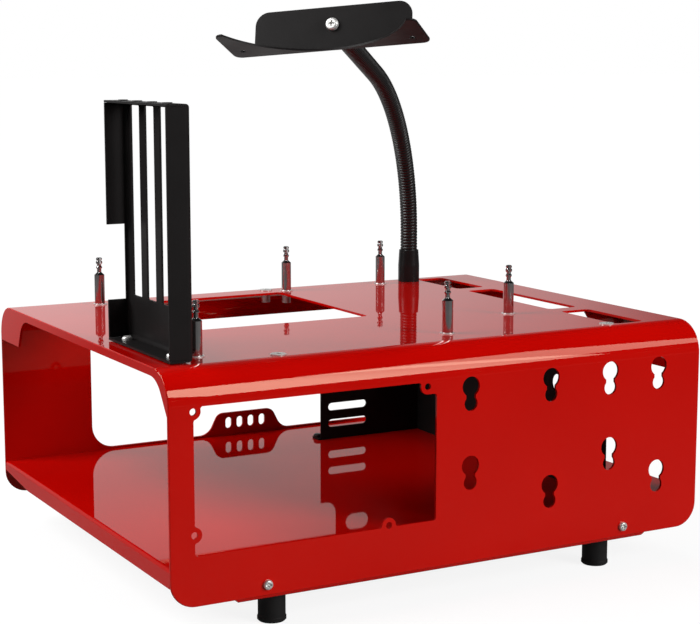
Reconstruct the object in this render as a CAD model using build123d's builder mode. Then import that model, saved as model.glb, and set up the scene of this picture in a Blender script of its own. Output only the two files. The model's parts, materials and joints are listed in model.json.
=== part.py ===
from build123d import *
import math
import os

# Open air test bench, in millimetres. X runs along the near panel, Y away from it, Z up.
# The origin is on the ground under the middle of the bench.

# Sheet of the shell and the tray, and the clear height of the bay between them.
sheet = 1.5
bay_height = 100.0
bend_radius = 18.0
corner_radius = 14.0
edge_round = 0.6

# Small board pattern. The top plate is laid out round it.
board_holes = [(0.0, 0.0), (154.94, 0.0), (227.33, 45.72), (22.86, 203.2), (154.94, 203.2), (227.33, 203.2)]
board_in = 32.4
board_near = 37.8
board_far = 31.0

# Lips at the two ends of the shell.
lip_sheet = 1.5
lip_depth = 4.7
finger_drop = 24.9
finger_reach = 14.2
finger_fillet = 16.0
flap_drop = 22.2
flap_reach = 42.8
flap_foot = 34.7
flap_fillet = 15.0
right_flap_reach = 76.0
right_flap_foot = 66.0
tab_drop = 31.6
tab_reach = 89.0
tab_slope = 27.0
tab_fillet = 18.0

# Floor tray inside the shell.
foot_height = 16.1
flange_drop = 2.5
tray_tall = 23.6
tray_gap = 0.05
tray_overhang = 36.0
tray_return = 25.0
tray_bend = 0.6
tray_end_drop = 10.0
tray_end_short = 5.5
tray_end_taper = 44.0
tray_chamfer = 3.0
tray_screw_in = 54.5
tray_screw_rise = 5.9

# Power supply opening in the near panel, with the standard screw pattern.
psu_in = 13.6
psu_down = 20.9
psu_holes = [(0.0, 0.0), (138.0, 0.0), (0.0, -64.0), (114.0, -74.0)]
psu_hole = 1.85
psu_pad = 4.2
psu_pad_fillet = 1.4
psu_left = 0.2
psu_right = 143.7
psu_up = 2.5
psu_low = 75.0
psu_corner = 1.5

# Keyholes in the near panel for hanging drives of two standard widths.
key_big = 5.6
key_small = 4.2
key_neck = 6.2
key_drop = 9.5
key_down = 23.4
key_from_psu = 22.1
key_step = 53.7
drive_35 = (95.25, 44.45)
drive_25 = (76.6, 61.72)

# Far panel opening with a raised tab in the middle of its lower edge.
far_margin = 59.1
far_up = 20.0
far_low = 1.5
far_corner = 15.0
tab_base = 55.0
tab_crest = 40.6
tab_rise = 14.3
tab_root_fillet = 10.0
tab_crest_fillet = 6.5
tab_slot_wide = 4.6
tab_slot_tall = 7.6
tab_slot_pitch = 8.4
tab_slots = 4

# Openings in the top plate: a cooler window behind the board and three cable slots beside it.
cpu_size = 120.0
cpu_clear_x = 6.74
cpu_clear_y = 4.0
cpu_corner = 3.0
slot_gap = 33.4
slot_width = 21.0
slot_margin = 25.87
slot_corner = 3.5
slot_lengths = (55.5, 95.0, 55.5)
slot_between = 11.0
slot_shift = 1.5

# Board standoffs: a post, a shoulder and a split snap head.
stud_radius = 1.9
stud_length = 6.5
standoff_radius = 3.2
standoff_body = 20.0
standoff_shoulder = 1.6
standoff_neck = 1.4
standoff_ring = 1.9
standoff_head = 2.05
standoff_tip = 9.4
standoff_grip = 2.0
standoff_bevel = 0.6
standoff_land = 0.8
standoff_head_land = 1.2
standoff_split = 0.9
standoff_split_depth = 4.4

# Threaded inserts pressed into the top plate.
insert_wall = 1.05
insert_lip = 1.2
insert_lip_height = 0.6
insert_length = 8.0
insert_fit = 0.05
thread_fit = 0.05
screw_fit = 0.1
spare_edge = 22.4
spare_left_in = 72.6
spare_right_in = 52.1
spare_far_in = 163.8

# Card bracket, a folded pan open towards the left end.
card_sheet = 1.2
card_from_board_x = 22.3
card_from_board_y = 17.3
card_deep = 13.7
card_tall = 131.6
card_bend = 2.1
card_slots = 4
card_pitch = 20.32
card_bar = 7.7
card_edge = 6.46
card_slot_corner = 0.6
card_slot_low = 25.0
card_slot_top = 2.6
card_slit = 0.15
card_gap_low = 22.4
card_gap_high = 64.0
card_screw_in = 6.2
card_screw_edge = 12.0
card_screw_head = 2.9
card_screw_height = 2.2
card_nut_radius = 2.6
card_nut_height = 0.5
card_nut_bore = 1.6

# Gooseneck arm that carries the fan bracket.
arm_right_in = 54.9
arm_far_in = 27.0
arm_bearing = 222.5
arm_base_radius = 7.35
arm_base_height = 22.0
arm_base_wall = 0.7
hose_radius = 5.9
hose_fit = 0.1
hose_socket = 14.0
hose_rise = 33.5
hose_bend = 118.0
hose_tilt = 19.8
hose_reach = 151.9
end_wall = 0.8
end_length = 22.0
end_socket = 14.0
arm_stud = 4.0
arm_washer_radius = 7.5
arm_washer_height = 1.6
arm_nut_flats = 13.0
arm_nut_height = 5.0
arm_stud_past = 1.5

# Fan bracket at the end of the arm, for a 120 mm fan.
fan_sheet = 1.2
fan_bend = 0.5
fan_plate_width = 98.3
fan_plate_up = 11.4
fan_plate_down = 16.0
fan_plate_corner = 8.5
fan_ear_width = 122.4
fan_ear_deep = 37.5
fan_ear_corner = 5.0
fan_hole_span = 105.0
fan_hole_in = 10.4
fan_hole = 1.7
fan_mouth = 61.5
fan_roll = 4.7
fan_screw_shank = 2.4
fan_screw_fit = 0.05
fan_screw_head = 3.9
fan_screw_height = 2.6
fan_screw_length = 6.6
fan_tap_depth = 6.0

# Drive rack standing on the tray floor.
rack_sheet = 1.2
rack_bend = 1.0
rack_right_in = 57.4
rack_wide = 77.0
rack_far_in = 46.0
rack_near_in = 13.0
rack_tall = 76.0
rack_step = 11.6
rack_step_tall = 44.1
rack_step_fillet = 8.0
rack_notch = 29.0
rack_notch_tall = 43.0
rack_notch_fillet = 12.0
rack_foot = 9.5
rack_ear = 2.0
rack_foot_corner = 2.5
rack_side_foot_near = 26.0
rack_side_foot_far = 76.0
rack_slot_wide = 29.6
rack_slot_tall = 5.3
rack_slot_in = 5.5
rack_slot_rise = 10.9
rack_slot_pitch = 11.3
rack_window_wide = 18.0
rack_window_tall = 11.2
rack_window_in = 19.0
rack_window_rise = 60.0
rack_side_window_in = 36.5
rack_screw_edge = 50.0
rack_screw_head = 2.9
rack_screw_height = 2.2
rack_screw_shank = 1.5
rack_nut_flats = 5.5
rack_nut_height = 2.4

# Feet and small fasteners.
foot_radius = 7.45
foot_rim = 0.4
foot_rim_height = 2.4
foot_rim_chamfer = 0.8
foot_in = 63.6
foot_near = 14.0
foot_bore_depth = 9.0
foot_bore_gap = 1.0
foot_screw = 2.0
foot_screw_head = 3.7
foot_screw_height = 2.6
foot_nut_flats = 7.0
foot_nut_height = 3.2
tray_screw = 1.5
tray_screw_head = 2.65
tray_screw_height = 2.0
tray_screw_dome = 1.1
tray_nut_flats = 5.5
tray_nut_height = 2.4
nut_past = 0.8
cross_width = 1.0
cross_depth = 1.5
cross_arm = 1.8

# Overall sizes and heights that follow.
board_span_x = max(x for x, y in board_holes)
board_span_y = max(y for x, y in board_holes)
length = board_in + board_span_x + slot_gap + slot_width + slot_margin
depth = board_near + board_span_y + board_far
floor = foot_height + tray_tall
under = floor + bay_height
top = under + sheet
panel_low = foot_height + flange_drop
shell_height = top - panel_low
left = -length / 2
right = length / 2
near = -depth / 2
far = depth / 2
board_x = left + board_in
board_y = near + board_near

# Places that several pieces share.
insert_radius = stud_radius + thread_fit + insert_wall
seat = top + insert_lip_height
board_spots = [(board_x + x, board_y + y) for x, y in board_holes]
card_slot = card_pitch - card_bar
card_wide = card_pitch * card_slots - card_bar + 2 * card_edge
card_x = board_x - card_from_board_x
card_y = board_y - card_from_board_y
card_spots = [(card_x + card_screw_in, card_y + y) for y in (card_screw_edge, card_wide - card_screw_edge)]
spare_spots = [(left + spare_left_in, near + spare_edge), (right - spare_right_in, near + spare_edge),
               (right - spare_far_in, far - spare_edge)]
insert_spots = board_spots + card_spots + spare_spots
tray_width = depth - 2 * sheet - 2 * tray_gap
tray_screw_z = panel_low + tray_screw_rise
tray_screw_xs = (left + tray_screw_in, right - tray_screw_in)
foot_xs = (left + foot_in, right - foot_in)
foot_ys = (near + foot_near, far - foot_near)
foot_spots = [(x, y) for x in foot_xs for y in foot_ys]
psu_x = left + psu_in
psu_z = top - psu_down
psu_spots = [(psu_x + x, psu_z + z) for x, z in psu_holes]
arm_x = right - arm_right_in
arm_y = far - arm_far_in
rack_x1 = right - rack_right_in
rack_x0 = rack_x1 - rack_wide
rack_y = far - rack_far_in
rack_near = near + rack_near_in
rack_foot_y = rack_y + rack_sheet + rack_foot / 2
rack_side_near = near + rack_side_foot_near
rack_side_far = far - rack_side_foot_far
rack_spots = [(rack_x0 + rack_sheet / 2, rack_foot_y), (rack_x1 - rack_foot, rack_foot_y),
              (rack_x1 + rack_foot / 2, rack_side_near + rack_screw_edge),
              (rack_x1 + rack_foot / 2, rack_side_far - rack_screw_edge)]

# The arm bends in one upright plane. Its bearing is the way it leans, seen from above.
lean_x = math.cos(math.radians(arm_bearing))
lean_y = math.sin(math.radians(arm_bearing))
tilt = math.radians(hose_tilt)
turn = math.pi / 2 - tilt
arc_out = hose_bend * (1 - math.cos(turn))
arc_up = hose_bend * math.sin(turn)
run = (hose_reach - arc_out) / math.cos(tilt)


def arm_point(out, up):
    return Vector(arm_x + lean_x * out, arm_y + lean_y * out, top + up)


hose_start = arm_point(0, arm_base_height - hose_socket)
bend_start = arm_point(0, hose_rise)
bend_middle = arm_point(hose_bend * (1 - math.cos(turn / 2)), hose_rise + hose_bend * math.sin(turn / 2))
bend_end = arm_point(arc_out, hose_rise + arc_up)
hose_end = arm_point(hose_reach, hose_rise + arc_up + run * math.sin(tilt))
aim = Vector(lean_x * math.cos(tilt), lean_y * math.cos(tilt), math.sin(tilt))
side = Vector(-lean_y, lean_x, 0)
end_radius = hose_radius + hose_fit + end_wall
end_plane = Plane(origin=hose_end - aim * end_socket, x_dir=side, z_dir=aim)
roll = math.radians(fan_roll)
level = side * math.cos(roll) + aim.cross(side) * math.sin(roll)
fan_plane = Plane(origin=hose_end + aim * (end_length - end_socket), x_dir=level, z_dir=aim)

os.makedirs("parts", exist_ok=True)

# The shell is a U section with its lower corners and its whole outer edge rounded.
with BuildPart() as top_shell:
    with BuildSketch(Plane.YZ.offset(left)) as section:
        with Locations((0, panel_low)):
            Rectangle(depth, shell_height, align=(Align.CENTER, Align.MIN))
        fillet(section.vertices().group_by(Axis.Y)[-1], bend_radius)
        with BuildSketch(mode=Mode.PRIVATE) as hollow:
            with Locations((0, under)):
                Rectangle(depth - 2 * sheet, shell_height, align=(Align.CENTER, Align.MAX))
            fillet(hollow.vertices().group_by(Axis.Y)[-1], bend_radius - sheet)
        add(hollow.sketch, mode=Mode.SUBTRACT)
    extrude(amount=length)
    fillet(top_shell.edges().filter_by(Axis.Y).group_by(Axis.Z)[0], corner_radius)
    fillet(top_shell.edges().sort_by_distance((left, 0, top))[0], edge_round)

    # Left lip: a finger round the near bend, a strip under the plate and a flap at the far bend.
    strip = top - lip_depth
    finger_foot = (near, top - finger_drop)
    finger_top = (near + finger_reach, strip)
    flap_top = (far - flap_reach, strip)
    flap_corner = (far - flap_foot, top - flap_drop)
    with BuildSketch(Plane.YZ.offset(left)) as left_lip:
        with BuildLine():
            Polyline(finger_foot, finger_top, flap_top, flap_corner, (far, top - flap_drop), (far, top),
                     (near, top), finger_foot)
        make_face()
        fillet(left_lip.vertices().sort_by_distance(finger_top)[0], finger_fillet)
        fillet(left_lip.vertices().sort_by_distance(flap_top)[0], flap_fillet)
        with Locations((0, top - shell_height / 2)):
            RectangleRounded(depth - 2 * sheet, shell_height - 2 * sheet, bend_radius - sheet,
                             mode=Mode.INTERSECT)
    extrude(amount=lip_sheet)

    # Right lip: the same strip, a longer flap, and a deeper tab for switches at the near corner.
    tab_end = (near + tab_reach, top - tab_drop)
    tab_strip = (near + tab_reach + tab_slope, strip)
    far_flap = (far - right_flap_reach, strip)
    far_foot = (far - right_flap_foot, top - flap_drop)
    with BuildSketch(Plane.YZ.offset(right)) as right_lip:
        with BuildLine():
            Polyline((near, top - tab_drop), tab_end, tab_strip, far_flap, far_foot, (far, top - flap_drop),
                     (far, top), (near, top), (near, top - tab_drop))
        make_face()
        fillet(right_lip.vertices().sort_by_distance(tab_end)[0], tab_fillet)
        fillet(right_lip.vertices().sort_by_distance(tab_strip)[0], tab_fillet)
        fillet(right_lip.vertices().sort_by_distance(far_flap)[0], flap_fillet)
        with Locations((0, top - shell_height / 2)):
            RectangleRounded(depth - 2 * sheet, shell_height - 2 * sheet, bend_radius - sheet,
                             mode=Mode.INTERSECT)
    extrude(amount=-lip_sheet)

    # Openings in the top plate.
    with BuildSketch(Plane.XY.offset(top)):
        with Locations((board_spots[4][0] - cpu_clear_x, board_spots[4][1] - cpu_clear_y)):
            RectangleRounded(cpu_size, cpu_size, cpu_corner, align=Align.MAX)
        slot_start = -(sum(slot_lengths) + slot_between * (len(slot_lengths) - 1)) / 2 - slot_shift
        for slot_long in slot_lengths:
            with Locations((right - slot_margin - slot_width, slot_start)):
                RectangleRounded(slot_width, slot_long, slot_corner, align=Align.MIN)
            slot_start = slot_start + slot_long + slot_between
        with Locations(*insert_spots):
            Circle(insert_radius + insert_fit)
        with Locations((arm_x, arm_y)):
            Circle(arm_stud + screw_fit)
    extrude(amount=-sheet, mode=Mode.SUBTRACT)

    # Power supply opening with a pad round each screw hole, the keyholes and the tray screw holes.
    psu_edge = psu_x + psu_right
    pad_x, pad_z = psu_spots[1][0] - psu_pad, psu_spots[1][1] - psu_pad
    with BuildSketch(Plane.XZ.offset(-near)) as window:
        with Locations((psu_x + psu_left, psu_z - psu_low)):
            RectangleRounded(psu_right - psu_left, psu_low + psu_up, psu_corner, align=Align.MIN)
        with Locations(psu_spots[0], psu_spots[2], psu_spots[3]):
            Circle(psu_pad, mode=Mode.SUBTRACT)
        with Locations((pad_x, pad_z)):
            Rectangle(psu_edge - pad_x, psu_up + psu_pad, align=Align.MIN, mode=Mode.SUBTRACT)
        pad_ends = [v for v in window.vertices() for spot in (psu_spots[0], psu_spots[2], psu_spots[3])
                    if abs(math.dist((v.X, v.Y), spot) - psu_pad) < psu_left / 2]
        fillet(pad_ends, psu_pad_fillet)
        for spot, radius in (((pad_x, pad_z), psu_pad - psu_left), ((pad_x, psu_z + psu_up), psu_pad_fillet),
                             ((psu_edge, pad_z), psu_corner)):
            fillet(window.vertices().sort_by_distance(spot)[0], radius)
        with Locations(*psu_spots):
            Circle(psu_hole)
        key_x = psu_edge + key_from_psu
        for column, pitch in ((key_x, drive_35), (key_x + key_step, drive_25)):
            for x in (column, column + pitch[0]):
                for z in (top - key_down, top - key_down - pitch[1]):
                    with Locations((x, z)):
                        Circle(key_big)
                        Rectangle(key_neck, key_drop, align=(Align.CENTER, Align.MAX))
                    with Locations((x, z - key_drop)):
                        Circle(key_small)
        with Locations(*[(x, tray_screw_z) for x in tray_screw_xs]):
            Circle(tray_screw + screw_fit)
    extrude(amount=-sheet, mode=Mode.SUBTRACT)

    # Far panel opening. The tab keeps a row of plain slots.
    sill = floor + far_low
    with BuildSketch(Plane.XZ.offset(-far)):
        with Locations((0, sill)):
            RectangleRounded(length - 2 * far_margin, top - far_up - sill, far_corner,
                             align=(Align.CENTER, Align.MIN))
        with BuildSketch(mode=Mode.PRIVATE) as tab:
            root = tab_base / 2 + tab_root_fillet
            with BuildLine():
                Polyline((-root, sill), (-tab_base / 2, sill), (-tab_crest / 2, sill + tab_rise),
                         (tab_crest / 2, sill + tab_rise), (tab_base / 2, sill), (root, sill),
                         (root, sill - sheet), (-root, sill - sheet), (-root, sill))
            make_face()
            for end in (-1, 1):
                root_spot = (end * tab_base / 2, sill)
                crest_spot = (end * tab_crest / 2, sill + tab_rise)
                fillet(tab.vertices().sort_by_distance(root_spot)[0], tab_root_fillet)
                fillet(tab.vertices().sort_by_distance(crest_spot)[0], tab_crest_fillet)
        add(tab.sketch, mode=Mode.SUBTRACT)
        with Locations((0, sill + tab_rise / 2)):
            with GridLocations(tab_slot_pitch, 1, tab_slots, 1):
                SlotOverall(tab_slot_tall, tab_slot_wide, rotation=90)
        with Locations(*[(x, tray_screw_z) for x in tray_screw_xs]):
            Circle(tray_screw + screw_fit)
    extrude(amount=sheet, mode=Mode.SUBTRACT)
top_shell.part.label = "top_shell"
export_step(top_shell.part, "parts/top_shell.step")

# The tray is a channel upside down with return flanges, under a floor that runs the full length.
tray_left = left + tray_overhang
tray_right = right - tray_overhang
with BuildPart() as floor_tray:
    with BuildSketch(Plane.YZ.offset(tray_left)) as channel:
        with Locations((0, foot_height)):
            Rectangle(tray_width, tray_tall, align=(Align.CENTER, Align.MIN))
        fillet(channel.vertices(), tray_bend + sheet)
        with BuildSketch(mode=Mode.PRIVATE) as void:
            with Locations((0, foot_height + sheet)):
                Rectangle(tray_width - 2 * sheet, tray_tall - 2 * sheet, align=(Align.CENTER, Align.MIN))
            fillet(void.vertices(), tray_bend)
        add(void.sketch, mode=Mode.SUBTRACT)
        with Locations((0, foot_height)):
            Rectangle(tray_width - 2 * tray_return, sheet, align=(Align.CENTER, Align.MIN),
                      mode=Mode.SUBTRACT)
    extrude(amount=tray_right - tray_left)
    with BuildSketch(Plane.XZ.offset(-near)):
        for tip, way in ((tray_left, 1), (tray_right, -1)):
            with BuildLine():
                Polyline((tip, foot_height), (tip + way * tray_chamfer, foot_height),
                         (tip, foot_height + tray_chamfer), (tip, foot_height))
            make_face()
    extrude(amount=-depth, mode=Mode.SUBTRACT)

    # Floor and its end flanges, which taper towards the far panel.
    with BuildSketch(Plane.XZ.offset(tray_width / 2)) as deck:
        with Locations((0, floor)):
            Rectangle(length, tray_end_drop, align=(Align.CENTER, Align.MAX))
        fillet(deck.vertices().group_by(Axis.Y)[-1], tray_bend + sheet)
        with BuildSketch(mode=Mode.PRIVATE) as below:
            with Locations((0, floor - sheet)):
                Rectangle(length - 2 * sheet, tray_end_drop, align=(Align.CENTER, Align.MAX))
            fillet(below.vertices().group_by(Axis.Y)[-1], tray_bend)
        add(below.sketch, mode=Mode.SUBTRACT)
    extrude(amount=-tray_width)
    end_low = floor - tray_end_drop
    tray_far = tray_width / 2
    for face, way in ((left, 1), (right, -1)):
        with BuildSketch(Plane.YZ.offset(face)):
            with BuildLine():
                Polyline((tray_far, end_low), (tray_far, floor - tray_end_short),
                         (tray_far - tray_end_taper, end_low), (tray_far, end_low))
            make_face()
        extrude(amount=way * sheet, mode=Mode.SUBTRACT)

    # Holes for the tray screws, the feet and the rack.
    with BuildSketch(Plane.XZ.offset(-near)):
        with Locations(*[(x, tray_screw_z) for x in tray_screw_xs]):
            Circle(tray_screw + screw_fit)
    extrude(amount=-depth, mode=Mode.SUBTRACT)
    with BuildSketch(Plane.XY.offset(foot_height)):
        with Locations(*foot_spots):
            Circle(foot_screw + screw_fit)
    extrude(amount=sheet, mode=Mode.SUBTRACT)
    with BuildSketch(Plane.XY.offset(floor)):
        with Locations(*rack_spots):
            Circle(rack_screw_shank + screw_fit)
    extrude(amount=-sheet, mode=Mode.SUBTRACT)
floor_tray.part.label = "floor_tray"
export_step(floor_tray.part, "parts/floor_tray.step")

# Tray screws with crossed recesses, two in each side panel, and their nuts inside the flanges.
tray_spots = [(x, y, way) for y, way in ((near, 1), (far, -1)) for x in tray_screw_xs]
for number, (x, y, way) in enumerate(tray_spots, 1):
    out_plane = Plane(origin=(x, y, tray_screw_z), x_dir=(1, 0, 0), z_dir=(0, -way, 0))
    with BuildPart() as tray_screw_part:
        with BuildSketch(out_plane):
            Circle(tray_screw_head)
        extrude(amount=tray_screw_height)
        crown_plane = out_plane.offset(tray_screw_height)
        fillet(tray_screw_part.faces().sort_by_distance(crown_plane.origin)[0].edges(), tray_screw_dome)
        with BuildSketch(out_plane):
            Circle(tray_screw)
        extrude(amount=-(2 * sheet + tray_gap + tray_nut_height + nut_past))
        with BuildSketch(crown_plane):
            Rectangle(2 * cross_arm, cross_width)
            Rectangle(cross_width, 2 * cross_arm)
        extrude(amount=-cross_depth, mode=Mode.SUBTRACT)
    tray_screw_part.part.label = "tray_screw_" + str(number)
    export_step(tray_screw_part.part, "parts/tray_screw_" + str(number) + ".step")

    with BuildPart() as tray_nut_part:
        with BuildSketch(out_plane.offset(-(2 * sheet + tray_gap))):
            RegularPolygon(tray_nut_flats / 2, 6, major_radius=False)
            Circle(tray_screw + thread_fit, mode=Mode.SUBTRACT)
        extrude(amount=-tray_nut_height)
    tray_nut_part.part.label = "tray_nut_" + str(number)
    export_step(tray_nut_part.part, "parts/tray_nut_" + str(number) + ".step")

# Feet: turned rubber with a rim, each bored from below for a screw that a nut holds on the return flange.
foot_bore = foot_screw_head + foot_bore_gap
for number, (x, y) in enumerate(foot_spots, 1):
    with BuildPart() as foot:
        with BuildSketch(Plane(origin=(x, y, 0), x_dir=(1, 0, 0), z_dir=(0, -1, 0))) as foot_half:
            with BuildLine():
                rim = foot_radius + foot_rim
                hole = foot_screw + screw_fit
                Polyline((foot_bore, 0), (rim, 0), (rim, foot_rim_height),
                         (foot_radius, foot_rim_height + foot_rim), (foot_radius, foot_height),
                         (hole, foot_height), (hole, foot_bore_depth), (foot_bore, foot_bore_depth),
                         (foot_bore, 0))
            make_face()
            chamfer(foot_half.vertices().sort_by_distance((rim, 0))[0], foot_rim_chamfer)
        revolve(axis=Axis((x, y, 0), (0, 0, 1)))
    foot.part.label = "foot_" + str(number)
    export_step(foot.part, "parts/foot_" + str(number) + ".step")

    with BuildPart() as foot_screw_part:
        with Locations((x, y, foot_bore_depth)):
            Cylinder(foot_screw_head, foot_screw_height, align=(Align.CENTER, Align.CENTER, Align.MAX))
            Cylinder(foot_screw, foot_height - foot_bore_depth + sheet + foot_nut_height + nut_past,
                     align=(Align.CENTER, Align.CENTER, Align.MIN))
        with BuildSketch(Plane.XY.offset(foot_bore_depth - foot_screw_height)):
            with Locations((x, y)):
                Rectangle(2 * cross_arm, cross_width)
                Rectangle(cross_width, 2 * cross_arm)
        extrude(amount=cross_depth, mode=Mode.SUBTRACT)
    foot_screw_part.part.label = "foot_screw_" + str(number)
    export_step(foot_screw_part.part, "parts/foot_screw_" + str(number) + ".step")

    with BuildPart() as foot_nut_part:
        with BuildSketch(Plane.XY.offset(foot_height + sheet)):
            with Locations((x, y)):
                RegularPolygon(foot_nut_flats / 2, 6, major_radius=False)
                Circle(foot_screw + thread_fit, mode=Mode.SUBTRACT)
        extrude(amount=foot_nut_height)
    foot_nut_part.part.label = "foot_nut_" + str(number)
    export_step(foot_nut_part.part, "parts/foot_nut_" + str(number) + ".step")

# Threaded inserts: a thin flange on the plate and a barrel below it.
with BuildPart() as threaded_inserts:
    with BuildSketch(Plane.XY.offset(top)):
        with Locations(*insert_spots):
            Circle(insert_radius + insert_lip)
    extrude(amount=insert_lip_height)
    with BuildSketch(Plane.XY.offset(top)):
        with Locations(*insert_spots):
            Circle(insert_radius)
    extrude(amount=-insert_length)
    with BuildSketch(Plane.XY.offset(seat)):
        with Locations(*insert_spots):
            Circle(stud_radius + thread_fit)
    extrude(amount=-insert_length - insert_lip_height, mode=Mode.SUBTRACT)
threaded_inserts.part.label = "threaded_inserts"
export_step(threaded_inserts.part, "parts/threaded_inserts.step")

# Board standoffs: a turned post with a shoulder, a neck that takes the board, a ring and a split head.
shoulder = seat + standoff_body
crest = shoulder + standoff_tip
ring_low = shoulder + standoff_grip
ring_top = ring_low + 2 * standoff_bevel + standoff_land
head_low = crest - standoff_split_depth
head_top = head_low + 2 * standoff_bevel + standoff_head_land
for number, (x, y) in enumerate(board_spots, 1):
    with BuildPart() as standoff:
        with BuildSketch(Plane(origin=(x, y, 0), x_dir=(1, 0, 0), z_dir=(0, -1, 0))):
            with BuildLine():
                Polyline((0, seat - stud_length), (stud_radius, seat - stud_length), (stud_radius, seat),
                         (standoff_radius, seat), (standoff_radius, shoulder - standoff_shoulder),
                         (standoff_neck, shoulder), (standoff_neck, ring_low),
                         (standoff_ring, ring_low + standoff_bevel),
                         (standoff_ring, ring_top - standoff_bevel),
                         (standoff_neck, ring_top), (standoff_neck, head_low),
                         (standoff_head, head_low + standoff_bevel),
                         (standoff_head, head_top - standoff_bevel),
                         (standoff_neck, head_top), (standoff_ring, head_top + standoff_bevel),
                         (standoff_ring, crest - standoff_bevel), (standoff_ring - standoff_bevel, crest),
                         (0, crest), (0, seat - stud_length))
            make_face()
        revolve(axis=Axis((x, y, 0), (0, 0, 1)))
        with Locations((x, y, crest)):
            Box(standoff_split, 2 * standoff_radius, standoff_split_depth,
                align=(Align.CENTER, Align.CENTER, Align.MAX), mode=Mode.SUBTRACT)
    standoff.part.label = "standoff_" + str(number)
    export_step(standoff.part, "parts/standoff_" + str(number) + ".step")

# Card bracket: a pan with flanges all round, slotted for the cards and cut away at its far side.
card_top = seat + card_tall
card_face = card_x + card_deep
card_rows = [card_y + card_edge + card_slot / 2 + card_pitch * i for i in range(card_slots)]
with BuildPart() as card_bracket:
    with BuildSketch(Plane.YZ.offset(card_x)):
        with Locations((card_y, seat)):
            Rectangle(card_wide, card_tall, align=Align.MIN)
    extrude(amount=card_deep)
    fillet(card_bracket.faces().sort_by(Axis.X)[-1].edges(), card_bend + card_sheet)
    offset(amount=-card_sheet, openings=card_bracket.faces().sort_by(Axis.X)[0])
    with BuildSketch(Plane.YZ.offset(card_face)):
        for y in card_rows:
            with Locations((y, seat + card_slot_low)):
                RectangleRounded(card_slot, card_tall - card_slot_low - card_slot_top, card_slot_corner,
                                 align=(Align.CENTER, Align.MIN))
    extrude(amount=-card_sheet - card_bend, mode=Mode.SUBTRACT)
    with BuildSketch(Plane.XZ.offset(-(card_y + card_wide))):
        with Locations((card_x, seat + card_gap_low)):
            Rectangle(card_deep - card_bend - card_sheet, card_gap_high - card_gap_low, align=Align.MIN)
    extrude(amount=card_sheet, mode=Mode.SUBTRACT)
    for z in (seat + card_sheet, card_top - card_sheet - card_slit):
        with Locations((card_x, card_y, z)):
            Box(card_deep - card_bend - card_sheet, card_wide, card_slit, align=Align.MIN, mode=Mode.SUBTRACT)
    with BuildSketch(Plane.XY.offset(seat)):
        with Locations(*card_spots):
            Circle(stud_radius + screw_fit)
    extrude(amount=card_sheet, mode=Mode.SUBTRACT)
    with BuildSketch(Plane.XY.offset(card_top)):
        with Locations(*[(card_x + card_screw_in, y) for y in card_rows]):
            Circle(card_nut_bore)
    extrude(amount=-card_sheet, mode=Mode.SUBTRACT)
card_bracket.part.label = "card_bracket"
export_step(card_bracket.part, "parts/card_bracket.step")

# Dome screws through the foot of the card bracket.
for number, (x, y) in enumerate(card_spots, 1):
    with BuildPart() as card_screw_part:
        with BuildSketch(Plane.XY.offset(seat + card_sheet)):
            with Locations((x, y)):
                Circle(card_screw_head)
        extrude(amount=card_screw_height)
        fillet(card_screw_part.edges().group_by(Axis.Z)[-1], 0.7 * card_screw_height)
        with BuildSketch(Plane.XY.offset(seat + card_sheet)):
            with Locations((x, y)):
                Circle(stud_radius)
        extrude(amount=-stud_length - card_sheet)
    card_screw_part.part.label = "card_screw_" + str(number)
    export_step(card_screw_part.part, "parts/card_screw_" + str(number) + ".step")

# Press nuts on the top flange of the card bracket, one over each slot.
for number, y in enumerate(card_rows, 1):
    with BuildPart() as card_nut_part:
        with BuildSketch(Plane.XY.offset(card_top)):
            with Locations((card_x + card_screw_in, y)):
                Circle(card_nut_radius)
                Circle(card_nut_bore, mode=Mode.SUBTRACT)
        extrude(amount=card_nut_height)
    card_nut_part.part.label = "card_nut_" + str(number)
    export_step(card_nut_part.part, "parts/card_nut_" + str(number) + ".step")

# Gooseneck base: a tapered ferrule with a socket above and a stud through the plate.
arm_neck = hose_radius + hose_fit + arm_base_wall
stud_foot = under - arm_washer_height - arm_nut_height - arm_stud_past
socket_floor = top + arm_base_height - hose_socket
with BuildPart() as arm_base:
    with BuildSketch(Plane(origin=(arm_x, arm_y, 0), x_dir=(1, 0, 0), z_dir=(0, -1, 0))):
        with BuildLine():
            Polyline((0, stud_foot), (arm_stud, stud_foot), (arm_stud, top), (arm_base_radius, top),
                     (arm_base_radius, top + arm_base_height / 2), (arm_neck, top + arm_base_height),
                     (hose_radius + hose_fit, top + arm_base_height), (hose_radius + hose_fit, socket_floor),
                     (0, socket_floor), (0, stud_foot))
        make_face()
    revolve(axis=Axis((arm_x, arm_y, 0), (0, 0, 1)))
arm_base.part.label = "arm_base"
export_step(arm_base.part, "parts/arm_base.step")

with BuildPart() as arm_washer:
    with BuildSketch(Plane.XY.offset(under)):
        with Locations((arm_x, arm_y)):
            Circle(arm_washer_radius)
            Circle(arm_stud + screw_fit, mode=Mode.SUBTRACT)
    extrude(amount=-arm_washer_height)
arm_washer.part.label = "arm_washer"
export_step(arm_washer.part, "parts/arm_washer.step")

with BuildPart() as arm_nut:
    with BuildSketch(Plane.XY.offset(under - arm_washer_height)):
        with Locations((arm_x, arm_y)):
            RegularPolygon(arm_nut_flats / 2, 6, major_radius=False)
            Circle(arm_stud + thread_fit, mode=Mode.SUBTRACT)
    extrude(amount=-arm_nut_height)
arm_nut.part.label = "arm_nut"
export_step(arm_nut.part, "parts/arm_nut.step")

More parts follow.
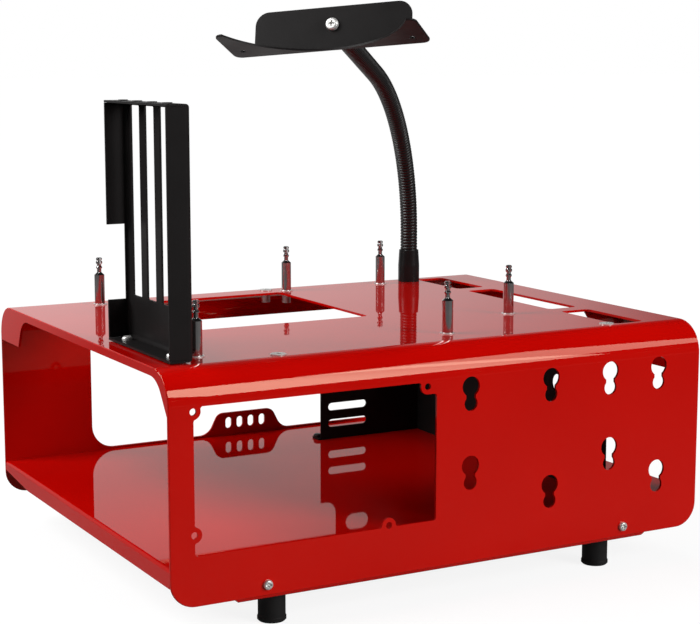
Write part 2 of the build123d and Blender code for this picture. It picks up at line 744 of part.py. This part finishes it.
# The hose runs straight up, bends over in one arc and ends in a straight run.
with BuildPart() as gooseneck_hose:
    with BuildLine() as route:
        Line(hose_start, bend_start)
        ThreePointArc(bend_start, bend_middle, bend_end)
        Line(bend_end, hose_end)
    with BuildSketch(Plane(origin=hose_start, x_dir=(1, 0, 0), z_dir=(0, 0, 1))):
        Circle(hose_radius)
    sweep(path=route.line)
gooseneck_hose.part.label = "gooseneck_hose"
export_step(gooseneck_hose.part, "parts/gooseneck_hose.step")

# End ferrule: a sleeve on the hose, closed in front and tapped for the bracket's screw.
with BuildPart() as arm_end:
    with BuildSketch(end_plane):
        Circle(end_radius)
    extrude(amount=end_length)
    with BuildSketch(end_plane):
        Circle(hose_radius + hose_fit)
    extrude(amount=end_socket, mode=Mode.SUBTRACT)
    with BuildSketch(end_plane.offset(end_length)):
        Circle(fan_screw_shank + fan_screw_fit)
    extrude(amount=-fan_tap_depth, mode=Mode.SUBTRACT)
arm_end.part.label = "arm_end"
export_step(arm_end.part, "parts/arm_end.step")

# Fan bracket: an upright plate folded into a shelf with two ears round the mouth of the fan.
fold = fan_plane.from_local_coords((0, -fan_plate_down, 0))
shelf_plane = Plane(origin=fold, x_dir=fan_plane.x_dir, z_dir=-fan_plane.y_dir)
with BuildPart() as fan_bracket:
    with BuildSketch(fan_plane) as plate:
        with Locations((0, -fan_plate_down)):
            Rectangle(fan_plate_width, fan_plate_up + fan_plate_down, align=(Align.CENTER, Align.MIN))
        fillet(plate.vertices().group_by(Axis.Y)[-1], fan_plate_corner)
        Circle(fan_screw_shank + fan_screw_fit, mode=Mode.SUBTRACT)
    extrude(amount=fan_sheet)
    with BuildSketch(shelf_plane) as ears:
        Rectangle(fan_ear_width, fan_ear_deep, align=(Align.CENTER, Align.MIN))
        fillet(ears.vertices(), fan_ear_corner)
        with Locations((0, fan_hole_in + fan_hole_span / 2)):
            Circle(fan_mouth, mode=Mode.SUBTRACT)
        with Locations((0, fan_hole_in)):
            with GridLocations(fan_hole_span, 1, 2, 1):
                Circle(fan_hole, mode=Mode.SUBTRACT)
    extrude(amount=-fan_sheet)
    fillet(fan_bracket.edges().sort_by_distance(fold)[0], fan_bend)
fan_bracket.part.label = "fan_bracket"
export_step(fan_bracket.part, "parts/fan_bracket.step")

# Pan screw that holds the fan bracket to the end ferrule.
with BuildPart() as fan_screw:
    with BuildSketch(fan_plane.offset(fan_sheet)):
        Circle(fan_screw_head)
    extrude(amount=fan_screw_height)
    fan_crown = fan_plane.offset(fan_sheet + fan_screw_height)
    fillet(fan_screw.faces().sort_by_distance(fan_crown.origin)[0].edges(), fan_screw_height / 2)
    with BuildSketch(fan_plane.offset(fan_sheet)):
        Circle(fan_screw_shank)
    extrude(amount=-fan_screw_length)
    with BuildSketch(fan_crown):
        Rectangle(2 * cross_arm, cross_width)
        Rectangle(cross_width, 2 * cross_arm)
    extrude(amount=-cross_depth, mode=Mode.SUBTRACT)
fan_screw.part.label = "fan_screw"
export_step(fan_screw.part, "parts/fan_screw.step")

# Drive rack: two walls folded at one corner, each with a foot on the tray floor.
with BuildPart() as drive_rack:
    with BuildSketch(Plane.XZ.offset(-(rack_y + rack_sheet))) as far_wall:
        with BuildLine():
            step_corner = (rack_x0 + rack_step, floor + rack_step_tall)
            Polyline((rack_x0, floor), (rack_x1, floor), (rack_x1, floor + rack_tall),
                     (rack_x0 + rack_step, floor + rack_tall), step_corner, (rack_x0, floor + rack_step_tall),
                     (rack_x0, floor))
        make_face()
        fillet(far_wall.vertices().sort_by_distance(step_corner)[0], rack_step_fillet)
        slots_x = rack_x0 + rack_slot_in + rack_slot_wide / 2
        with Locations((slots_x, floor + rack_slot_rise + rack_slot_pitch / 2)):
            with GridLocations(1, rack_slot_pitch, 1, 2):
                SlotOverall(rack_slot_wide, rack_slot_tall, mode=Mode.SUBTRACT)
        with Locations((rack_x0 + rack_window_in + rack_window_wide / 2, floor + rack_window_rise)):
            SlotOverall(rack_window_wide, rack_window_tall, mode=Mode.SUBTRACT)
    extrude(amount=rack_sheet)
    with BuildSketch(Plane.YZ.offset(rack_x1)) as side_wall:
        with BuildLine():
            rack_far = rack_y + rack_sheet
            notch_corner = (rack_near + rack_notch, floor + rack_notch_tall)
            Polyline((rack_near, floor), (rack_far, floor), (rack_far, floor + rack_tall),
                     (rack_near + rack_notch, floor + rack_tall), notch_corner,
                     (rack_near, floor + rack_notch_tall), (rack_near, floor))
        make_face()
        fillet(side_wall.vertices().sort_by_distance(notch_corner)[0], rack_notch_fillet)
        with Locations((rack_near + rack_side_window_in + rack_window_wide / 2, floor + rack_window_rise)):
            SlotOverall(rack_window_wide, rack_window_tall, mode=Mode.SUBTRACT)
    extrude(amount=-rack_sheet)
    corner = (rack_x1, rack_y + rack_sheet, floor + rack_tall / 2)
    fillet(drive_rack.edges().filter_by(Axis.Z).sort_by_distance(corner)[0], rack_bend + rack_sheet)
    with BuildSketch(Plane.XY.offset(floor)) as rack_feet:
        with Locations((rack_x0 - rack_ear, rack_y)):
            Rectangle(rack_wide + rack_ear - rack_bend - rack_sheet, rack_sheet + rack_foot, align=Align.MIN)
        with Locations((rack_x1 - rack_sheet, rack_side_near)):
            Rectangle(rack_foot + rack_sheet, rack_side_far - rack_side_near, align=Align.MIN)
        outer = rack_feet.vertices().group_by(Axis.Y)[-1] + rack_feet.vertices().group_by(Axis.X)[-1]
        fillet(outer, rack_foot_corner)
        with Locations(*rack_spots):
            Circle(rack_screw_shank + screw_fit, mode=Mode.SUBTRACT)
    extrude(amount=rack_sheet)
drive_rack.part.label = "drive_rack"
export_step(drive_rack.part, "parts/drive_rack.step")

# Dome screws and nuts that hold the rack's feet to the tray floor.
for number, (x, y) in enumerate(rack_spots, 1):
    with BuildPart() as rack_screw_part:
        with BuildSketch(Plane.XY.offset(floor + rack_sheet)):
            with Locations((x, y)):
                Circle(rack_screw_head)
        extrude(amount=rack_screw_height)
        fillet(rack_screw_part.edges().group_by(Axis.Z)[-1], 0.6 * rack_screw_height)
        with BuildSketch(Plane.XY.offset(floor + rack_sheet)):
            with Locations((x, y)):
                Circle(rack_screw_shank)
        extrude(amount=-(rack_sheet + sheet + rack_nut_height + nut_past))
    rack_screw_part.part.label = "rack_screw_" + str(number)
    export_step(rack_screw_part.part, "parts/rack_screw_" + str(number) + ".step")

    with BuildPart() as rack_nut_part:
        with BuildSketch(Plane.XY.offset(floor - sheet)):
            with Locations((x, y)):
                RegularPolygon(rack_nut_flats / 2, 6, major_radius=False)
                Circle(rack_screw_shank + thread_fit, mode=Mode.SUBTRACT)
        extrude(amount=-rack_nut_height)
    rack_nut_part.part.label = "rack_nut_" + str(number)
    export_step(rack_nut_part.part, "parts/rack_nut_" + str(number) + ".step")

hose_length = (bend_start - hose_start).length + hose_bend * turn + run
hose_volume = math.pi * hose_radius ** 2 * hose_length
print("bench", round(length, 1), round(depth, 1), round(top, 1))
print("hose length", round(hose_length, 1))
print("hose volume ratio", round(gooseneck_hose.part.volume / hose_volume, 4))
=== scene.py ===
# %% [markdown]
# # An open air test bench
#
# The object is a bench for trying computer parts out of their case: a red folded shell over a
# red floor tray, chrome standoffs for a board, a black card bracket, a drive rack inside, and a
# gooseneck arm that holds a fan bracket over the board. The solids come from the CAD model and
# stay where they are. This lesson gives each of them its finish, winds the ribbed sleeve of the
# gooseneck, and sets a plain studio with the camera of the photograph.

# %% Load the CAD frame
import json
import math

import bpy
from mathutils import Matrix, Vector


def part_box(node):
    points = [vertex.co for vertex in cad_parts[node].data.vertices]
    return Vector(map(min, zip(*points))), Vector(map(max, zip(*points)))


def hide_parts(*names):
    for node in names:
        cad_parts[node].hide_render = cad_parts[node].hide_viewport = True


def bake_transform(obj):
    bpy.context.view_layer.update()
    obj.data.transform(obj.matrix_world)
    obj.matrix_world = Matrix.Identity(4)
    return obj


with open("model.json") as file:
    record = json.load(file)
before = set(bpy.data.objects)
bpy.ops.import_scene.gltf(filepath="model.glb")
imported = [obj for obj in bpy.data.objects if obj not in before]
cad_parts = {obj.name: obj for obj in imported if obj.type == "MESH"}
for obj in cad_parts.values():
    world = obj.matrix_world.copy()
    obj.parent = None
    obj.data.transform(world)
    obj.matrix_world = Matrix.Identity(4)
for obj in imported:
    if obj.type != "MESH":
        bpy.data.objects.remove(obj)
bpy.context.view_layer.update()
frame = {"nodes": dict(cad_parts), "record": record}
nodes_by_name = frame["nodes"]
slot_of = {part["node"]: part["material_slot"] for part in frame["record"]["subparts"]}
print("solids:", len(nodes_by_name), "slots:", sorted(set(slot_of.values())))

# %% [markdown]
# ## Effects that several finishes share
#
# A real coat is never one number: lacquer has slow waves, powder coat has a fine grain, and
# plated steel has patches that are a little duller. Each effect could be copied into every
# material, but a node group keeps it in one place with named sockets. Both groups read the
# place on the object, so a pattern keeps its true size on small and large pieces alike.

# %% Soft mottle and grain groups
def new_group(name, inputs, outputs):
    group = bpy.data.node_groups.new(name, "ShaderNodeTree")
    for label, kind, value in inputs:
        socket = group.interface.new_socket(label, in_out="INPUT", socket_type=kind)
        if value is not None:
            socket.default_value = value
    for label, kind in outputs:
        group.interface.new_socket(label, in_out="OUTPUT", socket_type=kind)
    start = group.nodes.new("NodeGroupInput")
    end = group.nodes.new("NodeGroupOutput")
    start.location = (-600, 0)
    end.location = (400, 0)
    return group, start, end


mottle, m_in, m_out = new_group(
    "soft_mottle",
    [("Place", "NodeSocketVector", None), ("Scale", "NodeSocketFloat", 40.0),
     ("Low", "NodeSocketFloat", 0.2), ("High", "NodeSocketFloat", 0.4)],
    [("Value", "NodeSocketFloat")])
cloud = mottle.nodes.new("ShaderNodeTexNoise")
cloud.inputs["Detail"].default_value = 3.0
spread = mottle.nodes.new("ShaderNodeMapRange")
spread.inputs["From Min"].default_value, spread.inputs["From Max"].default_value = 0.32, 0.68
mottle.links.new(m_in.outputs["Place"], cloud.inputs["Vector"])
mottle.links.new(m_in.outputs["Scale"], cloud.inputs["Scale"])
mottle.links.new(cloud.outputs["Fac"], spread.inputs["Value"])
mottle.links.new(m_in.outputs["Low"], spread.inputs["To Min"])
mottle.links.new(m_in.outputs["High"], spread.inputs["To Max"])
mottle.links.new(spread.outputs["Result"], m_out.inputs["Value"])

grain, g_in, g_out = new_group(
    "coat_grain",
    [("Place", "NodeSocketVector", None), ("Coarse", "NodeSocketFloat", 300.0),
     ("Fine", "NodeSocketFloat", 1500.0)],
    [("Height", "NodeSocketFloat")])
waves = grain.nodes.new("ShaderNodeTexNoise")
waves.inputs["Detail"].default_value = 1.0
specks = grain.nodes.new("ShaderNodeTexNoise")
specks.inputs["Detail"].default_value = 2.0
both = grain.nodes.new("ShaderNodeMath")
both.operation = "ADD"
grain.links.new(g_in.outputs["Place"], waves.inputs["Vector"])
grain.links.new(g_in.outputs["Place"], specks.inputs["Vector"])
grain.links.new(g_in.outputs["Coarse"], waves.inputs["Scale"])
grain.links.new(g_in.outputs["Fine"], specks.inputs["Scale"])
grain.links.new(waves.outputs["Fac"], both.inputs[0])
grain.links.new(specks.outputs["Fac"], both.inputs[1])
grain.links.new(both.outputs["Value"], g_out.inputs["Height"])
print("groups:", [g.name for g in bpy.data.node_groups])

# %% [markdown]
# ## One recipe for every finish
#
# Each finish is a Principled shader whose colour drifts between two close tones, whose
# roughness drifts between two values, and whose surface carries a shallow grain. Numbers that
# are the same all over, such as the index of refraction, are set straight on the shader.

# %% Finish recipe
def finish(name, tones, rough, grain_size, grain_depth, mottle_size, **plain):
    mat = bpy.data.materials.new(name)
    mat.use_nodes = True
    tree = mat.node_tree
    shader = tree.nodes["Principled BSDF"]
    place = tree.nodes.new("ShaderNodeTexCoord").outputs["Object"]

    patch = tree.nodes.new("ShaderNodeGroup")
    patch.node_tree = mottle
    patch.inputs["Scale"].default_value = mottle_size
    patch.inputs["Low"].default_value = 0.0
    patch.inputs["High"].default_value = 1.0
    tone = tree.nodes.new("ShaderNodeMix")
    tone.data_type = "RGBA"
    tone.inputs["A"].default_value = (*tones[0], 1.0)
    tone.inputs["B"].default_value = (*tones[1], 1.0)
    tree.links.new(place, patch.inputs["Place"])
    tree.links.new(patch.outputs["Value"], tone.inputs["Factor"])
    tree.links.new(tone.outputs["Result"], shader.inputs["Base Color"])

    sheen = tree.nodes.new("ShaderNodeGroup")
    sheen.node_tree = mottle
    sheen.inputs["Scale"].default_value = mottle_size * 1.7
    sheen.inputs["Low"].default_value = rough[0]
    sheen.inputs["High"].default_value = rough[1]
    tree.links.new(place, sheen.inputs["Place"])
    tree.links.new(sheen.outputs["Value"], shader.inputs["Roughness"])

    coat = tree.nodes.new("ShaderNodeGroup")
    coat.node_tree = grain
    coat.inputs["Coarse"].default_value = grain_size[0]
    coat.inputs["Fine"].default_value = grain_size[1]
    bump = tree.nodes.new("ShaderNodeBump")
    bump.inputs["Strength"].default_value = grain_depth
    bump.inputs["Distance"].default_value = 0.0001
    tree.links.new(place, coat.inputs["Place"])
    tree.links.new(coat.outputs["Height"], bump.inputs["Height"])
    tree.links.new(bump.outputs["Normal"], shader.inputs["Normal"])

    for socket, value in plain.items():
        shader.inputs[socket.replace("_", " ")].default_value = value
    return mat


print("recipe ready")

# %% [markdown]
# ## Red lacquer
#
# The shell and the tray are sprayed with a very smooth red lacquer. Seen straight on it is a
# deep, clean red, and seen along the top plate it mirrors the white sweep behind the bench. Both
# come from one clear index of refraction and a low roughness, so no second coat is needed. A warm
# specular tint keeps what it mirrors straight on reddish, and it fades out towards grazing
# angles by itself. The grain is only a trace, which makes the mirrored edges waver a little.

# %% Red lacquer
finishes = {}
finishes["red_lacquer"] = finish(
    "red_lacquer", tones=((0.455, 0.0014, 0.0004), (0.485, 0.0018, 0.0006)), rough=(0.015, 0.03),
    grain_size=(220.0, 900.0), grain_depth=0.012, mottle_size=14.0,
    IOR=1.5, Specular_Tint=(1.0, 0.75, 0.55, 1.0))
print("lacquer:", finishes["red_lacquer"].name)

# %% [markdown]
# ## Black parts
#
# The card bracket, the rack and the fan bracket wear a powder coat with a fine grain. Its index of
# refraction is low, because a higher one would let the lamps turn the black to grey. The ferrules
# are smoother, the sleeve of the gooseneck shines enough to show its ribs, the rack's screws
# are blackened steel, and the feet are matt rubber.

# %% Black finishes
finishes["black_coat"] = finish(
    "black_coat", tones=((0.0095, 0.0084, 0.0084), (0.0125, 0.0112, 0.0112)), rough=(0.34, 0.44),
    grain_size=(900.0, 2600.0), grain_depth=0.16, mottle_size=30.0, IOR=1.19)
finishes["hose_black"] = finish(
    "hose_black", tones=((0.0050, 0.0046, 0.0046), (0.0080, 0.0074, 0.0074)), rough=(0.30, 0.42),
    grain_size=(700.0, 2400.0), grain_depth=0.08, mottle_size=60.0, IOR=1.48)
finishes["ferrule_black"] = finish(
    "ferrule_black", tones=((0.0048, 0.0045, 0.0045), (0.0070, 0.0066, 0.0066)), rough=(0.26, 0.34),
    grain_size=(600.0, 2400.0), grain_depth=0.06, mottle_size=60.0, IOR=1.4)
finishes["black_fastener"] = finish(
    "black_fastener", tones=((0.0060, 0.0057, 0.0057), (0.0100, 0.0096, 0.0096)), rough=(0.30, 0.42),
    grain_size=(800.0, 2600.0), grain_depth=0.08, mottle_size=120.0, IOR=1.45)
finishes["rubber"] = finish(
    "rubber", tones=((0.0060, 0.0056, 0.0056), (0.0090, 0.0085, 0.0085)), rough=(0.48, 0.62),
    grain_size=(600.0, 2200.0), grain_depth=0.25, mottle_size=80.0, IOR=1.4)
print("black finishes:", len(finishes) - 1)

# %% [markdown]
# ## Plated steel
#
# The standoffs are bright chrome and the screws, nuts and inserts are zinc plated, which is
# a little warmer and duller. A bare mirror as small as a screw head would show only the dim room
# in front, so zinc is less than fully metallic and scatters some light as its rough film does.

# %% Plated finishes
finishes["chrome"] = finish(
    "chrome", tones=((0.76, 0.74, 0.74), (0.84, 0.82, 0.82)), rough=(0.10, 0.18),
    grain_size=(500.0, 2600.0), grain_depth=0.03, mottle_size=150.0, Metallic=1.0)
finishes["zinc"] = finish(
    "zinc", tones=((0.80, 0.79, 0.77), (0.90, 0.89, 0.87)), rough=(0.30, 0.40),
    grain_size=(700.0, 2600.0), grain_depth=0.06, mottle_size=150.0, Metallic=0.72)
for node_name, solid in nodes_by_name.items():
    solid.data.materials.clear()
    solid.data.materials.append(finishes[slot_of[node_name]])
print("solids with a finish:", len(nodes_by_name))

# %% [markdown]
# ## The gooseneck's sleeve
#
# A gooseneck is a tight steel coil, so its outside is a helix of round ribs. Rings in a row
# would do from afar, but the real rib winds, and Blender's Screw modifier winds a short
# profile round an axis in one step. The profile starts as a circle whose points are moved into
# one rib, the modifier repeats it up the axis, and a Curve modifier then lays the straight
# sleeve along the arm's own path: up, over in one arc, and out to the fan bracket.

# %% Path of the arm
mm = 0.001
arm_bearing = math.radians(222.5)
lean = Vector((math.cos(arm_bearing), math.sin(arm_bearing), 0.0))
base_low, base_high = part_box("arm_base")
ferrule_height = 22.0 * mm
socket_floor = 8.0 * mm
base_middle = (base_low + base_high) / 2
arm_foot = Vector((base_middle.x, base_middle.y, base_high.z - ferrule_height))
bend_radius = 118.0 * mm
rise = 33.5 * mm
tilt = math.radians(19.8)
turn = math.pi / 2 - tilt
reach = 151.9 * mm
hose_radius = 5.9 * mm
arc_out = bend_radius * (1 - math.cos(turn))
arc_up = bend_radius * math.sin(turn)
run = (reach - arc_out) / math.cos(tilt)
aim = lean * math.cos(tilt) + Vector((0, 0, math.sin(tilt)))
up = Vector((0, 0, 1))
path_start = arm_foot + up * socket_floor
bend_start = arm_foot + up * rise
bend_end = arm_foot + lean * arc_out + up * (rise + arc_up)
path_end = bend_end + aim * run
sleeve_length = (bend_start - path_start).length + bend_radius * turn + run
print("sleeve length in mm:", round(sleeve_length / mm, 1))

bpy.ops.object.select_all(action="DESELECT")
bpy.ops.curve.primitive_bezier_curve_add(location=(0, 0, 0))
path = bpy.context.object
path.name = "arm_path"
bpy.ops.object.mode_set(mode="EDIT")
bpy.ops.curve.select_all(action="SELECT")
bpy.ops.curve.subdivide(number_cuts=2)
bpy.ops.object.mode_set(mode="OBJECT")
grip = bend_radius * 4 / 3 * math.tan(turn / 4)
stations = [(path_start, up, (bend_start - path_start).length / 3), (bend_start, up, grip),
            (bend_end, aim, grip), (path_end, aim, run / 3)]
for point, (spot, way, hold) in zip(path.data.splines[0].bezier_points, stations):
    point.handle_left_type = point.handle_right_type = "FREE"
    point.co = spot
    point.handle_left = spot - way * hold
    point.handle_right = spot + way * hold
path.data.resolution_u = 40
path.data.twist_mode = "MINIMUM"
path.data.use_stretch = True
path.data.use_deform_bounds = True
print("path points:", len(path.data.splines[0].bezier_points))

# %% Rib wound into a sleeve
rib_count = 124
rib_pitch = sleeve_length / rib_count
rib_depth = 0.6 * mm
bpy.ops.object.select_all(action="DESELECT")
bpy.ops.mesh.primitive_circle_add(vertices=8, radius=0.5, fill_type="NOTHING", location=(0, 0, 0))
sleeve = bpy.context.object
sleeve.name = "gooseneck_sleeve"
bpy.ops.object.mode_set(mode="EDIT")
bpy.ops.mesh.select_all(action="SELECT")
bpy.ops.transform.rotate(value=math.pi / 2, orient_axis="X", center_override=(0, 0, 0))
bpy.ops.mesh.select_all(action="DESELECT")
bpy.ops.object.mode_set(mode="OBJECT")
for corner in sleeve.data.vertices:
    corner.select = corner.co.x < -0.01
bpy.ops.object.mode_set(mode="EDIT")
bpy.ops.mesh.delete(type="VERT")
bpy.ops.mesh.select_all(action="SELECT")
bpy.ops.transform.resize(value=(2 * rib_depth, 1, rib_pitch), center_override=(0, 0, 0))
bpy.ops.transform.translate(value=(hose_radius - rib_depth, 0, rib_pitch / 2))
bpy.ops.object.mode_set(mode="OBJECT")
print("rib profile points:", len(sleeve.data.vertices))

winding = sleeve.modifiers.new("winding", "SCREW")
winding.axis = "Z"
winding.angle = 2 * math.pi
winding.screw_offset = rib_pitch
winding.iterations = rib_count - 1
winding.steps = winding.render_steps = 32
winding.use_merge_vertices = True
winding.merge_threshold = 0.01 * mm
bpy.ops.object.modifier_apply(modifier="winding")
bpy.ops.object.mode_set(mode="EDIT")
bpy.ops.mesh.select_all(action="SELECT")
bpy.ops.mesh.remove_doubles(threshold=0.01 * mm)
bpy.ops.mesh.fill_holes(sides=0)
bpy.ops.mesh.select_all(action="SELECT")
bpy.ops.mesh.normals_make_consistent(inside=False)
bpy.ops.object.mode_set(mode="OBJECT")
laying = sleeve.modifiers.new("laying", "CURVE")
laying.object = path
laying.deform_axis = "POS_Z"
bpy.ops.object.modifier_apply(modifier="laying")
bpy.ops.object.shade_smooth_by_angle(angle=math.radians(70))
sleeve.data.materials.append(finishes["hose_black"])
bpy.data.objects.remove(path)
print("sleeve faces:", len(sleeve.data.polygons), "length in mm:", round(sleeve_length / mm, 1))

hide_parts("gooseneck_hose")
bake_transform(sleeve)
box = [[round(c / mm, 1) for c in corner] for corner in sleeve.bound_box]
print("sleeve box in mm:", box[0], box[6])

# %% [markdown]
# ## A plain studio
#
# The photograph has a white ground. More light would burn the lacquer out, so the floor and the
# room are white by themselves to the camera: a Light Path node tells its rays from the ones that
# carry light. What the lacquer and the chrome mirror is told apart too. As in a real studio,
# they mirror a white sweep behind the bench and a dim room everywhere else, and that is what
# keeps the near panel a clean red under a pale top plate. Close to the bench the floor glows a
# little less and takes some real light instead, so that the object's shadow stays on it.

# %% Rays and the white sweep
sweep_span = 1.0
sweep_greys = ((0.22, 0.06), (0.45, 0.82), (0.66, 0.80), (0.78, 0.57), (0.815, 0.45), (0.86, 0.08))


def map_range(tree, value, start, end, low, high):
    node = tree.nodes.new("ShaderNodeMapRange")
    for label, number in (("From Min", start), ("From Max", end), ("To Min", low), ("To Max", high)):
        node.inputs[label].default_value = number
    tree.links.new(value, node.inputs["Value"])
    return node.outputs["Result"]


def told_apart(tree):
    rays = tree.nodes.new("ShaderNodeLightPath")
    mirrored = tree.nodes.new("ShaderNodeMath")
    mirrored.operation = "MAXIMUM"
    tree.links.new(rays.outputs["Is Glossy Ray"], mirrored.inputs[0])
    tree.links.new(rays.outputs["Is Transmission Ray"], mirrored.inputs[1])
    return rays.outputs["Is Camera Ray"], mirrored.outputs["Value"]


def sweep_glow(tree, direction):
    axes = tree.nodes.new("ShaderNodeSeparateXYZ")
    bearing = tree.nodes.new("ShaderNodeMath")
    bearing.operation = "ARCTAN2"
    width = tree.nodes.new("ShaderNodeValToRGB")
    tree.links.new(direction, axes.inputs["Vector"])
    tree.links.new(axes.outputs["X"], bearing.inputs[0])
    tree.links.new(axes.outputs["Y"], bearing.inputs[1])
    across = map_range(tree, bearing.outputs["Value"], -sweep_span, sweep_span, 0.0, 1.0)
    tree.links.new(across, width.inputs["Fac"])
    stops = width.color_ramp.elements
    stops[0].position, stops[1].position = sweep_greys[0][0], sweep_greys[-1][0]
    for place, _ in sweep_greys[1:-1]:
        stops.new(place)
    for stop, (_, grey) in zip(stops, sweep_greys):
        stop.color = (grey, grey, grey, 1.0)
    return width.outputs["Color"], axes.outputs["Z"]


def by_ray(tree, lighting, seen, mirrored_value):
    camera_ray, mirrored_ray = told_apart(tree)
    mirror_part = tree.nodes.new("ShaderNodeMix")
    mirror_part.inputs["A"].default_value = lighting
    camera_part = tree.nodes.new("ShaderNodeMix")
    tree.links.new(mirrored_ray, mirror_part.inputs["Factor"])
    tree.links.new(mirrored_value, mirror_part.inputs["B"])
    tree.links.new(camera_ray, camera_part.inputs["Factor"])
    tree.links.new(mirror_part.outputs["Result"], camera_part.inputs["A"])
    if isinstance(seen, float):
        camera_part.inputs["B"].default_value = seen
    else:
        tree.links.new(seen, camera_part.inputs["B"])
    return camera_part.outputs["Result"]


print("rays told apart: camera, mirrored, lighting")

# %% Floor
floor_width = 40.0
ring_start, ring_end = 0.25, 0.85
bpy.ops.object.select_all(action="DESELECT")
bpy.ops.mesh.primitive_plane_add(size=floor_width, location=(0, 0, 0))
ground = bpy.context.object
ground.name = "studio_floor"
paper = bpy.data.materials.new("studio_paper")
paper.use_nodes = True
sheet = paper.node_tree
paper_shader = sheet.nodes["Principled BSDF"]
paper_shader.inputs["Roughness"].default_value = 0.9
paper_shader.inputs["Specular IOR Level"].default_value = 0.0
paper_shader.inputs["Emission Color"].default_value = (1.0, 1.0, 1.0, 1.0)
spot = sheet.nodes.new("ShaderNodeTexCoord")
away = sheet.nodes.new("ShaderNodeVectorMath")
away.operation = "LENGTH"
sheet.links.new(spot.outputs["Object"], away.inputs[0])
white = map_range(sheet, away.outputs["Value"], ring_start, ring_end, 0.87, 1.0)
shade = map_range(sheet, away.outputs["Value"], ring_start, ring_end, 0.16, 0.03)
sheet.links.new(shade, paper_shader.inputs["Base Color"])
floor_sweep, _ = sweep_glow(sheet, spot.outputs["Object"])
glow = by_ray(sheet, lighting=0.0, seen=white, mirrored_value=floor_sweep)
sheet.links.new(glow, paper_shader.inputs["Emission Strength"])
ground.data.materials.append(paper)
print("floor width in m:", round(ground.dimensions.x, 1))

# %% [markdown]
# ## The room and its lamps
#
# The sweep fades out overhead, so the upper half of the near bend mirrors a dark ceiling. The
# main lamp is a soft box in front and to the right, as far round as the camera is to the left,
# so that its mirror image runs along the lower half of that bend. It dims towards one side, and
# a weaker wing beside it carries the highlight on to the bend's right end. A low fill lights
# the near panel, a lamp on the left lights the tray's end and floor, and one behind keeps the far
# side clear. The fill and the lamp behind could be mirrored as well, but from other sides they
# would burn white patches into the top plate, so those two only give light.

# %% Room
room = bpy.data.worlds.new("studio_room")
room.use_nodes = True
bpy.context.scene.world = room
air = room.node_tree
air.nodes.clear()
heading = air.nodes.new("ShaderNodeTexCoord")
room_sweep, rising = sweep_glow(air, heading.outputs["Generated"])
fade = map_range(air, rising, start=0.14, end=0.50, low=1.0, high=0.10)
faded = air.nodes.new("ShaderNodeMath")
faded.operation = "MULTIPLY"
backing = air.nodes.new("ShaderNodeBackground")
backing.inputs["Color"].default_value = (1.0, 1.0, 1.0, 1.0)
way_out = air.nodes.new("ShaderNodeOutputWorld")
air.links.new(room_sweep, faded.inputs[0])
air.links.new(fade, faded.inputs[1])
strength = by_ray(air, lighting=0.11, seen=1.0, mirrored_value=faded.outputs["Value"])
air.links.new(strength, backing.inputs["Strength"])
air.links.new(backing.outputs["Background"], way_out.inputs["Surface"])
print("room nodes:", len(air.nodes))

# %% Lamps
def soft_box(name, spot, target, width, height, watts, mirrored=False):
    bpy.ops.object.light_add(type="AREA", location=spot)
    lamp = bpy.context.object
    lamp.name = name
    lamp.data.shape = "RECTANGLE"
    lamp.data.size = width
    lamp.data.size_y = height
    lamp.data.energy = watts
    lamp.rotation_euler = (Vector(target) - Vector(spot)).to_track_quat("-Z", "Y").to_euler()
    lamp.visible_camera = False
    lamp.visible_glossy = mirrored
    return lamp


near_panel = (0, -0.13, 0.10)
key = soft_box("front_lamp", (2.09, -3.62, 2.33), near_panel, 1.36, 2.30, 88.0, mirrored=True)
soft_box("front_wing", (2.70, -2.91, 2.57), near_panel, 0.95, 1.87, 25.0, mirrored=True)
soft_box("front_fill", (1.48, -2.69, 0.62), near_panel, 1.5, 1.0, 60.0)
soft_box("left_lamp", (-1.15, 0.30, 0.95), (-0.15, 0, 0.08), 0.8, 1.0, 24.0, mirrored=True)
soft_box("back_lamp", (0.4, 1.2, 1.4), (0, 0.1, 0.1), 0.9, 0.9, 9.0)

key.data.use_nodes = True
bulb = key.data.node_tree
on_lamp = bulb.nodes.new("ShaderNodeNewGeometry")
along = bulb.nodes.new("ShaderNodeSeparateXYZ")
bulb.links.new(on_lamp.outputs["Parametric"], along.inputs["Vector"])
dimmer = map_range(bulb, along.outputs["X"], start=0.45, end=1.0, low=1.0, high=0.55)
bulb.links.new(dimmer, bulb.nodes["Emission"].inputs["Strength"])

# %% [markdown]
# ## The camera
#
# The standard hole patterns of the power supply, the drives and the board fix the camera: their
# true spacings are known, so the place and the lens that put them on their pixels are known too.

# %% Camera
camera_down, camera_round = 8.565, 28.82
sensor, focal_pixels, picture_pixels = 36.0, 1709.9, 700.0
bpy.ops.object.camera_add(location=(-0.49275, -0.91072, 0.29780))
camera = bpy.context.object
camera.name = "photo_camera"
camera.rotation_euler = (math.radians(90 - camera_down), 0.0, math.radians(-camera_round))
camera.data.sensor_fit = "HORIZONTAL"
camera.data.sensor_width = sensor
camera.data.lens = focal_pixels * sensor / picture_pixels
camera.data.dof.use_dof = False
camera.data.clip_start = 0.05
bpy.context.scene.camera = camera
bpy.context.scene.view_settings.view_transform = "Standard"
print("lens in mm:", round(camera.data.lens, 2))
